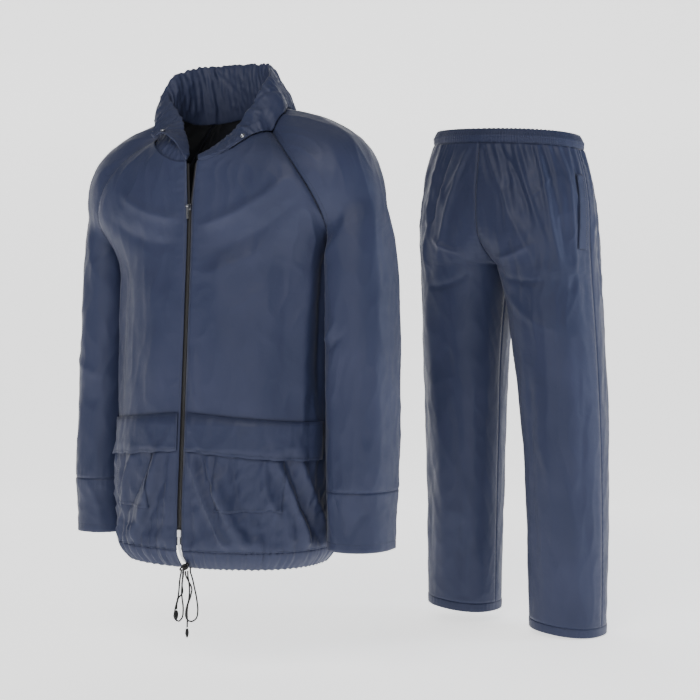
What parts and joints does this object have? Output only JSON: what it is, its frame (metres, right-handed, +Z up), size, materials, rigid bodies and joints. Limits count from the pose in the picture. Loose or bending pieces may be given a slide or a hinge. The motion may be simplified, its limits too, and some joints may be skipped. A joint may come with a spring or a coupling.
{
  "type": "rain suit",
  "caption": "Raglan rain jacket with a thick roll collar, front zip, flap pockets and hem drawcord, beside elastic-waist rain trousers, both filled out as worn.",
  "frame": {"origin": "the middle of the jacket's neck opening, level with the side neck points, where the wearer's shoulders hold it", "axes": "+Z up along the wearer's back, +X towards the trousers, -Y towards the viewer; the jacket's front is turned 28 degrees and the trousers' front 38 degrees from -Y towards -X"},
  "size_m": [1.0428, 0.7285, 1.1059],
  "materials": {
    "navy_coated_nylon": "satin",
    "woven_tape": "matte",
    "black_nylon_teeth": "satin",
    "black_braid": "matte",
    "white_plastic": "satin",
    "plated_metal": "satin"
  },
  "bodies": {
    "suit": {"jacket_back": "navy_coated_nylon", "jacket_collar": "navy_coated_nylon", "jacket_cuff_left": "navy_coated_nylon", "jacket_cuff_right": "navy_coated_nylon", "jacket_drawcord_end_left": "black_braid", "jacket_drawcord_end_right": "black_braid", "jacket_drawcord_knot": "black_braid", "jacket_drawcord_left": "black_braid", "jacket_drawcord_right": "black_braid", "jacket_drawcord_tail_left": "black_braid", "jacket_drawcord_tail_right": "black_braid", "jacket_flap_left": "navy_coated_nylon", "jacket_flap_right": "navy_coated_nylon", "jacket_front_left": "navy_coated_nylon", "jacket_front_right": "navy_coated_nylon", "jacket_hem_band": "navy_coated_nylon", "jacket_pocket_left": "navy_coated_nylon", "jacket_pocket_right": "navy_coated_nylon", "jacket_sleeve_left": "navy_coated_nylon", "jacket_sleeve_right": "navy_coated_nylon", "jacket_stud_left": "plated_metal", "jacket_stud_right": "plated_metal", "jacket_zip_box": "white_plastic", "jacket_zip_slider": "plated_metal", "jacket_zip_tape_end": "white_plastic", "jacket_zip_tape_left": "woven_tape", "jacket_zip_tape_right": "woven_tape", "jacket_zip_teeth": "black_nylon_teeth", "trousers_back_left": "navy_coated_nylon", "trousers_back_right": "navy_coated_nylon", "trousers_front_left": "navy_coated_nylon", "trousers_front_right": "navy_coated_nylon", "trousers_hem_left": "navy_coated_nylon", "trousers_hem_right": "navy_coated_nylon", "trousers_waistband": "navy_coated_nylon", "trousers_welt_left": "navy_coated_nylon", "trousers_welt_right": "navy_coated_nylon"},
    "zip_pull": {"jacket_zip_pull": "plated_metal"}
  },
  "joints": [
    {"name": "zip_pull_swing", "type": "hinge", "parent": "suit", "child": "zip_pull", "pos_m": [-0.05993, -0.11272, -0.17], "axis": [-0.8829, 0.4695, 0], "range_deg": [0, 150]}
  ]
}
